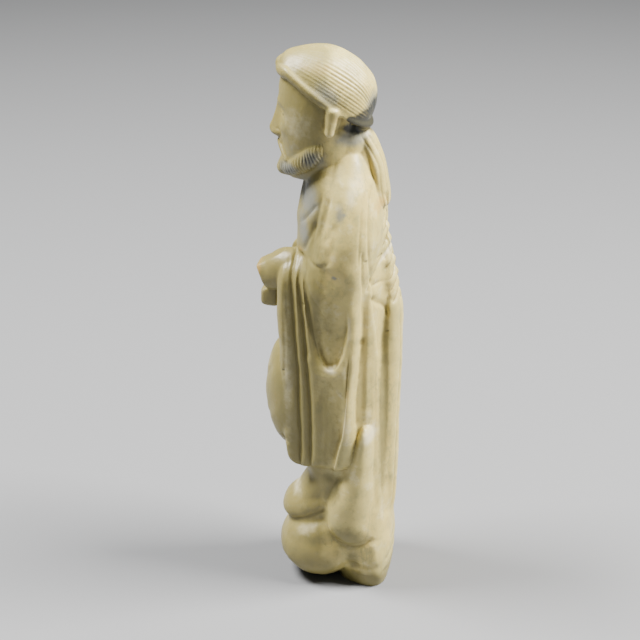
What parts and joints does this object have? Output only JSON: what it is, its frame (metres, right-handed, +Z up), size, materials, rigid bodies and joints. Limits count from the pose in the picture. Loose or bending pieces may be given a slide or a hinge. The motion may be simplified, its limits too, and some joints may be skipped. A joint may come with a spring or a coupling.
{
  "type": "soapstone figure",
  "caption": "Carved soapstone figure of a bearded, robed elder with a headband, standing on rounded rocks.",
  "frame": {"origin": "on the flat underside of the rocks, below the middle of the figure", "axes": "+Z up through the head, -Y the way the figure faces, +X its own left side"},
  "size_m": [0.0498, 0.0576, 0.2282],
  "materials": {
    "soapstone": "polished, waxy"
  },
  "bodies": {
    "root": {"immortal_figure": "soapstone"}
  },
  "joints": []
}
